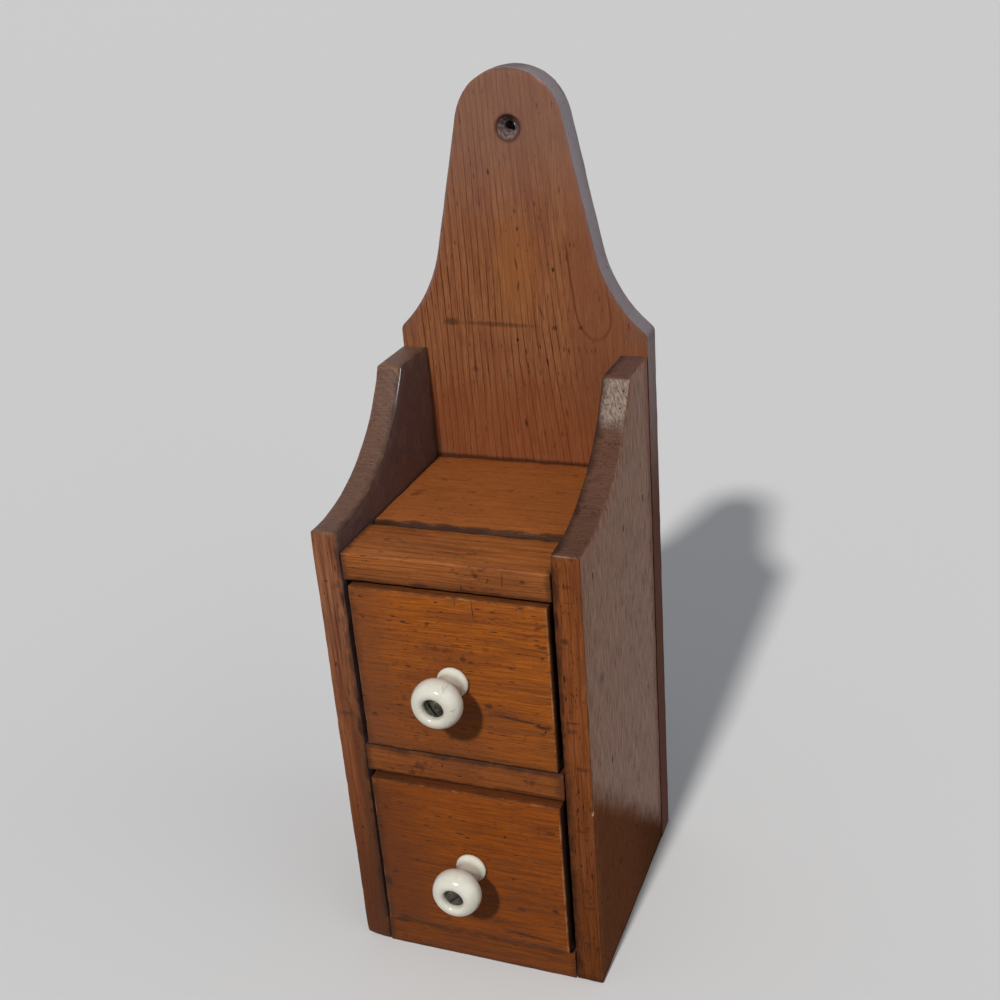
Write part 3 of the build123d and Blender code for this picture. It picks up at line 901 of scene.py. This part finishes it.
def leftOver(paint, colour, x, y, z, fibre, patch):
    front = y.fall(*sideFaces["front"])
    reeds = paint.noise(paint.vector(x / 1.5, 0.0, z / 46), 3.0, 0.6)
    # painted sheen: the inner face gets a paler, greyer tone
    colour = paint.laid(
        colour, sideTones, streak=reeds.rise(0.50, 0.66) * front, pale=reeds.fall(0.34, 0.46) * front,
        inner=x.rise(*sideFaces["leftInner"]), foot=front * z.fall(60, 190))
    # painted shade: the front of the side is made redder (the foot tone) and darker low down
    colour = paint.shade(colour, 1 - front * z.fall(25, 130) * 0.54)
    band = (x + (patch - 0.5) * 2.5).rise(-57.5, -55.5) * front * z.fall(110, 170)
    colour = paint.laid(colour, sideTones, band=band)
    colour = paint.shade(colour, 1 + front * 0.16)
    colour = paint.blend(spots(x, z, leftMarks, patch) * front, colour, pineLook["dirt"])
    return armTone(paint, colour, x, y, z, endGrain["left"])


def leftCoat(paint, x, y, z, patch):
    inner = x.rise(*sideFaces["leftInner"])
    lip = x.rise(-52.6, -51.8) * x.fall(-51.6, -51.2) * z.rise(262, 276)
    return (inner * 0.7).most(lip * 0.4)


sideGrowth = {"ring": 1.6, "rise": 0.8, "run": 0.35, "wander": 3.0, "scuffs": 0.7}
leftPine = pine(
    "leftPine", "left_side", "side", over=leftOver, coat=leftCoat, early=(0.235, 0.092, 0.043),
    late=(0.070, 0.016, 0.006), lines=0.7, seed=2.1, floorShade=0.55, smudges=0.4,
    borders=(("x", "high", 4, 0.75), ("y", "low", 1.5, 0.2), ("z", "low", 5, 0.4)), **sideGrowth)

rightMarks = ((52.7, 205, 7.5, 0.9, 90, 0.75), (55.6, 194.8, 3.0, 2.2, 0, 0.6),
              (54.4, 175, 3.2, 0.8, 84, 0.8), (57.5, 167.7, 2.0, 0.6, -50, 0.6),
              (56.8, 152.4, 5.0, 0.9, 3, 0.45), (56.6, 147.9, 4.0, 2.2, 0, 0.4),
              (57.5, 214.4, 6.0, 0.6, 0, 0.3), (53.0, 160, 6.0, 0.7, 88, 0.6),
              (60.3, 127.7, 4.5, 1.6, 0, 0.4), (57.9, 115, 1.8, 0.6, 80, 0.7),
              (57.1, 104, 2.2, 0.7, 85, 0.8), (58, 92.1, 5.0, 1.2, 0, 0.35),
              (57.2, 71.9, 0.9, 0.8, 0, 0.9), (59, 46.9, 5.5, 0.7, 0, 0.5),
              (62.4, 65.9, 3.0, 0.5, 90, 0.6))
splinterMark = (64.5, 103.6, 2.4, 0.8, 70, 1.0)


def handledFrom(y, z):  # the sheen on the outer side ends at a line that falls towards the wall: the edge of a painted reflection, fixed on the surface
    return z + (y + 45) * 0.86 - 97


def rightDashes(paint, x, y, z):  # fine threads along the grain of the outer side
    return paint.noise(paint.vector(z / 13, y / 0.36, x), 3.0, 0.7)


# painted shade: along the rear edge by the wall the colour is darker and redder and the coat thinner, where
# the sheen fell off
def rightRear(y, stray):
    return (y + stray * 6).rise(38, 50)


def rightOuter(paint, colour, x, y, z, outer, stray):
    colour = paint.laid(colour, sideTones, outer=outer)
    colour = paint.shade(colour, 1 - outer * rightDashes(paint, x, y, z).rise(0.46, 0.62) * 0.62)
    # painted shade: below the reflection line the colour is darker, and darker again towards the wall
    low = (handledFrom(y, z) + stray * 14).fall(-14, 12) * outer
    colour = paint.laid(colour, sideTones, rear=rightRear(y, stray) * outer, low=low)
    return paint.shade(colour, 1 - low * (y.rise(-30, 60) * 0.42 + 0.08))


def rightTorn(paint, colour, x, y, z, outer, stray):  # painted highlight: a pale patch at the top of the scoop, broken by torn end grain, stands in for the lamp's glint there
    torn = paint.noise(paint.vector((x + z * 0.5) / 0.6, y / 2.0, (z - x * 0.5) / 3.4), 3.0, 0.68)
    grazed = (z + stray * 12).rise(263, 274) * z.fall(286.2, 287) * (1 - outer)
    grazed = grazed * y.fall(19, 20) * x.rise(51.5, 53)
    pale = paint.blend(torn.rise(0.36, 0.60), endGrain["tornDark"], endGrain["tornPale"])
    return paint.blend(grazed * 0.9, colour, pale)


def rightOver(paint, colour, x, y, z, fibre, patch):
    stray = patch - 0.5
    outer = x.rise(*sideFaces["rightOuter"])
    colour = rightOuter(paint, colour, x, y, z, outer, stray)
    # painted shade: two tones for one end grain, the scoop darker than the flat end, set by the light each
    # face gets
    arm = paint.blend(z.rise(283, 286.5), endGrain["rightScoop"], endGrain["rightArm"])
    colour = armTone(paint, colour, x, y, z, arm)
    colour = rightTorn(paint, colour, x, y, z, outer, stray)
    front = y.fall(*sideFaces["front"])
    reeds = paint.noise(paint.vector(x / 1.5, 2.0, z / 40), 3.0, 0.6)
    streak = front * z.fall(220, 235)
    colour = paint.laid(colour, sideTones, reeds=reeds.rise(0.52, 0.68) * streak)
    colour = paint.blend(spots(x, z, rightMarks, patch) * front, colour, pineLook["dirt"])
    edge = y.fall(-65.9, -65.2)
    # painted shade: the outer front arris is made dark instead of catching the light
    colour = paint.laid(colour, sideTones, corner=edge * x.rise(63.9, 64.5))
    crest = z.rise(235.8, 236.4) * edge * patch.rise(0.42, 0.56)
    splinter = spots(x, z, (splinterMark,), patch) * edge
    return paint.blend(splinter.most(crest * 0.35), colour, endGrain["splinter"])


# painted reflection: the coat stops below the reflection line and thins along the rear
def rightCoat(paint, x, y, z, patch):
    stray = patch - 0.5
    outer = x.rise(*sideFaces["rightOuter"]) * (handledFrom(y, z) + stray * 12).rise(-11, 11)
    dashes = rightDashes(paint, x, y, z).rise(0.42, 0.62)
    return outer * (0.78 - dashes * 0.5) * (1 - rightRear(y, stray) * 0.5)


rightPine = pine(
    "rightPine", "right_side", "side", over=rightOver, coat=rightCoat, early=(0.222, 0.067, 0.020),
    specular=0.0, coatRoughness=0.35, lines=0.4, fleckShare=0.10, seed=5.4, floorShade=0.6, smudges=0.5,
    arrisPale=0.12, face=65, borders=(("x", "low", 5, 0.75), ("z", "low", 5, 0.4)),
    marks=((31.3, 112.7, 2.0, 0.7, 92, 0.8), (-34.3, 111.3, 2.0, 0.7, 92, 0.8)),
    **sideGrowth)

levelTones = {  # a colour, and how strongly it covers
    "groove": (0.030, 0.012, 0.007, 0.85), "broken": (0.060, 0.023, 0.011, 0.85),
    "upperDull": (0.135, 0.042, 0.015, 0.45), "upperLeft": (0.155, 0.048, 0.018, 0.7),
    "lowerDull": (0.108, 0.029, 0.008, 0.75), "lip": (0.330, 0.190, 0.095, 0.5),
    "gap": (0.010, 0.006, 0.005, 0.95), "soot": (0.022, 0.013, 0.009, 0.9),
}
frontEnds = {"upper": 49.6, "lower": 49.9}


def railOver(paint, colour, x, y, z, fibre, patch):  # painted shade in the groove behind the rail
    return paint.laid(colour, levelTones, groove=(y + (patch - 0.5) * 3).rise(-36.2, -34.4))


def shelfOver(paint, colour, x, y, z, fibre, patch):  # painted shade: a dark band with a ragged edge along the front edge, by the groove
    bite = paint.noise(paint.vector(x / 17, 0.0, 3.0), 1.5, 0.5)
    bite = (bite - 0.36).most(0.0) * 11 * x.rise(-50, -35) + 0.8
    return paint.laid(colour, levelTones, broken=(y + 30.5 - bite + (patch - 0.5) * 1.6).fall(-0.6, 1.3))


railPine = pine(
    "railPine", "top_rail", "level", over=railOver, seed=7.7, run=0.6, early=(0.278, 0.086, 0.020),
    smudges=0.7, face=-66.5, scuffs=0.9, arrisPale=0.15,
    borders=(("x", "low", 5, 0.7), ("x", "high", 4, 0.6), ("z", "low", 3.5, 0.8)),
    marks=((28.5, 222, 5.5, 0.35, 86, 0.8), (8.5, 216, 2.2, 0.5, 86, 0.8),
           (21.3, 220.5, 1.6, 0.5, 60, 0.6), (24, 214.5, 2.5, 0.8, 0, 0.5), (-12, 214.6, 6, 0.8, 0, 0.4)))
shelfPine = pine(
    "shelfPine", "shelf_board", "level", over=shelfOver, seed=9.2, rise=0.2, run=0.9,
    early=(0.262, 0.078, 0.019), ring=6.0, lines=0.12, streaks=0.15, floorShade=1.0, cloud=0.3,
    # the band along the rear edge (y high), against the back board, is painted shade with dirt in the joint
    borders=(("y", "low", 2.5, 0.7), ("y", "high", 3, 0.75)))
dividerPine = pine(
    "dividerPine", "drawer_divider", "level", seed=11.0, early=(0.25, 0.072, 0.016), smudges=0.6,
    face=-66.5, scuffs=0.9,
    marks=((-10.5, 117.1, 1.5, 0.6, 75, 0.8), (35.2, 115.8, 2.6, 2.0, 80, 0.45)),
    borders=(("x", "low", 5, 0.7), ("x", "high", 5, 0.6), ("z", "high", 4, 0.8), ("z", "low", 2.5, 0.7)))
bottomPine = pine(
    "bottomPine", "bottom_board", "level", seed=12.6, early=(0.240, 0.060, 0.008), smudges=0.6, scuffs=0.7,
    borders=(("x", "low", 5, 0.6), ("x", "high", 4, 0.5), ("z", "high", 3, 0.6), ("z", "low", 3, 0.5)))


def endShade(paint, colour, x, end, patch):  # painted shade: black in the gap on the right, behind an arris worn pale
    lip = x.rise(end - 1.7, end - 1.3) * x.fall(end - 1.1, end - 0.8)
    return paint.laid(colour, levelTones, lip=lip * patch.rise(0.36, 0.54),
                      gap=x.rise(end - 0.9, end - 0.3))


def upperOver(paint, colour, x, y, z, fibre, patch):
    stray = patch - 0.5
    colour = paint.laid(colour, levelTones, upperDull=(x * 0.5 + z * 0.9 + stray * 20).fall(110, 165),
                        upperLeft=(x + stray * 24).fall(-50, -18))
    return endShade(paint, colour, x, frontEnds["upper"], patch)


def lowerOver(paint, colour, x, y, z, fibre, patch):
    colour = paint.laid(colour, levelTones, lowerDull=(x + (patch - 0.5) * 24).fall(-48, -5))
    return endShade(paint, colour, x, frontEnds["lower"], patch)


def bareOver(paint, colour, x, y, z, fibre, patch):  # painted shade, with some dirt: the sides go dark near the front, where they show in the gaps beside the fronts
    outside = abs(x).rise(45.5, 47.5)
    return paint.laid(colour, levelTones, soot=outside * (y + (patch - 0.5) * 8).fall(-60, -50))


upperPine = pine(
    "upperPine", "upper_drawer_front", "level", seed=14.1, over=upperOver, early=(0.305, 0.080, 0.009),
    face=-68, arrisPale=0.7, streaks=0.5, lines=0.4, fibre=0.36, fleckShare=0.10, wander=8.0,
    # the band along the top edge (z high) is painted shade under the rail; the other bands are dirt
    borders=(("x", "low", 5, 0.45), ("x", "high", 1.5, 0.5),
             ("z", "low", 2.5, 0.5), ("z", "high", 1.6, 0.6)),
    marks=((-41.9, 196, 1.4, 1.2, 0, 0.6), (-26.3, 198, 2.6, 0.6, -4, 0.8),
           (-20, 195.3, 4.0, 0.6, -3, 0.75), (-9.7, 195.5, 1.4, 0.7, 0, 0.7),
           (-4.1, 207.9, 1.2, 0.6, 0, 0.8), (-2, 203.2, 1.0, 0.6, 0, 0.8), (-7.9, 203, 0.9, 0.6, 0, 0.7),
           (5.2, 208.4, 1.6, 0.4, 80, 0.7), (13.6, 205.8, 6.2, 0.32, 94, 0.9),
           (4.9, 190.3, 1.2, 0.5, 0, 0.7), (-16.1, 183.4, 1.8, 0.6, 0, 0.8),
           (4.3, 186.7, 2.2, 0.5, -4, 0.7), (45.4, 185.5, 1.2, 0.8, 0, 0.8),
           (44.3, 200.7, 2.8, 1.4, 20, 0.6), (45.7, 191, 3.0, 1.0, 0, 0.6), (6.8, 179.7, 2.2, 1.8, 0, 0.6),
           (10.5, 178.5, 1.8, 1.2, 0, 0.6), (-21.5, 172.2, 2.2, 0.7, -3, 0.8),
           (17.4, 156.1, 3.2, 1.7, -8, 0.7), (31, 151, 16, 1.1, -5, 0.65), (43.3, 149, 6.0, 2.0, -5, 0.8),
           (44.5, 146.7, 1.8, 0.5, 70, 0.9), (-25.4, 154.2, 2.0, 2.0, 40, 0.4),
           (-42.2, 142.5, 2.4, 1.6, 0, 0.5)))
lowerPine = pine(
    "lowerPine", "lower_drawer_front", "level", seed=17.9, over=lowerOver, early=(0.280, 0.066, 0.006),
    face=-70, arrisPale=0.6, streaks=0.45, lines=0.35, fibre=0.36, fleckShare=0.08, wander=8.0,
    # the band along the top edge (z high) is painted shade under the divider; the other bands are dirt
    borders=(("x", "low", 6, 0.5), ("x", "high", 1.5, 0.5), ("z", "low", 3, 0.6), ("z", "high", 1.6, 0.6)),
    marks=((-7.5, 90.2, 1.8, 0.8, 0, 0.8), (-3.3, 81.1, 3.0, 0.7, -4, 0.8),
           (0.5, 79.3, 1.8, 0.8, -10, 0.8), (20.5, 83.9, 1.1, 1.1, 0, 0.9), (43.7, 90.4, 2.8, 0.9, 0, 0.7),
           (-27.8, 59.7, 1.6, 0.8, -20, 0.7), (10.9, 68.2, 2.0, 0.6, 0, 0.7),
           (23.2, 59.1, 1.6, 0.9, 0, 0.7), (26.1, 40.8, 3.4, 1.8, -5, 0.6), (43.7, 44.1, 2.4, 1.6, 0, 0.7),
           (30, 25, 16, 1.2, -3, 0.65), (-45.8, 43.5, 3.0, 4.0, 0, 0.5), (-39, 21.6, 4.0, 1.6, 0, 0.5),
           (-41.9, 89.4, 1.8, 1.4, 0, 0.5)))
barePine = pine(
    "barePine", "upper_drawer_left_side", "level", over=bareOver, early=(0.42, 0.25, 0.12),
    late=(0.26, 0.13, 0.06), streak=(0.28, 0.15, 0.07), deep=(0.30, 0.16, 0.08), dirt=(0.10, 0.06, 0.04),
    gloss=0.65, seed=21.0, floorShade=1.0, lines=0.4)
knobMarks = {
    "upper": ((5.7, 9.9, 1.3, 0.3, 60, 0.5), (4.9, 10.5, 1.0, 0.3, 120, 0.45), (9.9, 1.2, 1.5, 0.5, 5, 0.5),
              (8.2, -5.4, 1.1, 0.5, 70, 0.3)),
    "lower": ((11.5, -3.4, 0.6, 0.5, 0, 1.0), (6.2, -8.2, 1.8, 0.4, 30, 0.4),
              (-9.6, 2.0, 1.4, 0.4, 80, 0.3)),
}
darkSteel = metal("darkSteel", (0.105, 0.096, 0.076), (0.032, 0.029, 0.024), 3.0, 0.75, 0.42)
oldIron = metal("oldIron", (0.060, 0.034, 0.022), (0.024, 0.014, 0.010), 1.5, 0.0, 0.8, 0.1)


def filledBrads(name, tone):  # iron in the wood, with heads that were filled and stained over on the front
    paint = newPaint(name)
    x, y, z = paint.place()
    grain = paint.noise(paint.vector(x / 8, y, z / 0.6), 3.0, 0.6)
    front = y.fall(-66.5, -66.0)
    colour = paint.blend(front, (0.05, 0.035, 0.025), paint.shade(tone, grain * 1.6))
    return paint.cover(colour=colour, roughness=0.5, metallic=(1 - front) * 0.4, specular=0.1)


upperFill = filledBrads("upperFill", (0.19, 0.055, 0.012))
lowerFill = filledBrads("lowerFill", (0.14, 0.040, 0.008))


def dressed(node, finish):
    nodes[node].data.materials.clear()
    nodes[node].data.materials.append(finish)


print("carcass")
backBoard(backPine)
sideBoard("leftSide", "left_side", "left_side_nails", leftPine)
sideBoard("rightSide", "right_side", "right_side_nails", rightPine)
topRail(railPine)
shelfBoard(shelfPine)
for name, node, finish in (("drawerDivider", "drawer_divider", dividerPine),
                           ("bottomBoard", "bottom_board", bottomPine)):
    piece = plainBoard(name, node, "xz", innerWear, 26, 4, 8)
    finished(piece, "carcass", "rail_pine", finish, node)

print("drawers")
for name, finish, slotTurn in (("upper", upperPine, -58), ("lower", lowerPine, 42)):
    drawerFront(name, finish)
    drawerBoards(name, barePine)
    knob(name, china(name + "China", name + "_knob", knobMarks[name]))
    knobBolt(name, slotTurn, darkSteel)
    for part in ("_knob_washer", "_knob_nut"):
        dressed(name + part, darkSteel)
for node, finish in (("left_side_nails", oldIron), ("right_side_nails", oldIron), ("back_nails", oldIron),
                     ("upper_drawer_nails", upperFill), ("lower_drawer_nails", lowerFill)):
    dressed(node, finish)

# Studio

view = {"place": (0.23016, -0.54849, 0.49534), "yaw": -22.48, "pitch": 24.19, "roll": -4.67, "lens": 48.457}
lamps = {
    "key": {"from": (-0.04, -1.0, 0.92), "strength": 2.9, "spread": 3.8, "tone": (1, 1, 1)},
    "fill": {"from": (1.0, -0.25, 0.30), "strength": 0.88, "spread": 70.0, "tone": (0.92, 0.98, 1.0)},
}
surroundings = {"ambient": (0.260, 0.275, 0.310), "backdrop": (0.62, 0.61, 0.60),
                "floor": (0.62, 0.605, 0.585), "floorAway": (0.14, 0.12, 0.10)}


def takeView():
    camera = bpy.data.objects.new("camera", bpy.data.cameras.new("camera"))
    bpy.context.scene.collection.objects.link(camera)
    yaw, pitch, roll = (radians(view[key]) for key in ("yaw", "pitch", "roll"))
    forward = Vector((sin(yaw) * cos(pitch), cos(yaw) * cos(pitch), -sin(pitch)))
    level = Vector((forward.y, -forward.x, 0)).normalized()
    above = level.cross(forward)
    right = level * cos(roll) + above * sin(roll)
    up = above * cos(roll) - level * sin(roll)
    turn = Matrix((right, up, -forward)).transposed().to_4x4()
    camera.matrix_world = Matrix.Translation(view["place"]) @ turn
    camera.data.lens = view["lens"]
    camera.data.sensor_width = 36
    bpy.context.scene.camera = camera


def light():
    for name, lamp in lamps.items():
        sun = bpy.data.lights.new(name, "SUN")
        sun.energy = lamp["strength"]
        sun.angle = radians(lamp["spread"])
        sun.color = lamp["tone"]
        placed = bpy.data.objects.new(name, sun)
        placed.rotation_euler = Vector(lamp["from"]).to_track_quat("Z", "Y").to_euler()
        bpy.context.scene.collection.objects.link(placed)


def rays(paint):
    path = paint.tree.nodes.new("ShaderNodeLightPath").outputs
    return [Wire(paint, path["Is " + kind + " Ray"]) for kind in ("Camera", "Glossy", "Transmission")]


def backdrop():  # plain behind the floor, and dimmer as a source of light
    world = bpy.data.worlds.new("studio")
    bpy.context.scene.world = world
    paint = Paint(world)
    camera, glossy, through = rays(paint)
    tone = paint.blend(camera.most(glossy).most(through), surroundings["ambient"], surroundings["backdrop"])
    paint.tree.links.new(tone.socket, paint.tree.nodes["Background"].inputs["Color"])


def floor():  # darker to the light it throws back than to the camera
    deselect()
    bpy.ops.mesh.primitive_plane_add(size=60)
    ground = bpy.context.object
    ground.name = "floor"
    paint = newPaint("floorPaint")
    camera, glossy, through = rays(paint)
    mirrored = glossy.most(through)
    tone = paint.blend(camera, surroundings["floorAway"], surroundings["floor"])
    tone = paint.blend(mirrored, tone, (0, 0, 0))
    glow = paint.blend(mirrored, (0, 0, 0), surroundings["floor"])
    finish = paint.cover(colour=tone, roughness=0.8, specular=0.1, glow=glow, glowStrength=1.0)
    ground.data.materials.append(finish)


print("studio")
takeView()
light()
backdrop()
floor()
bpy.context.scene.view_settings.view_transform = "Standard"
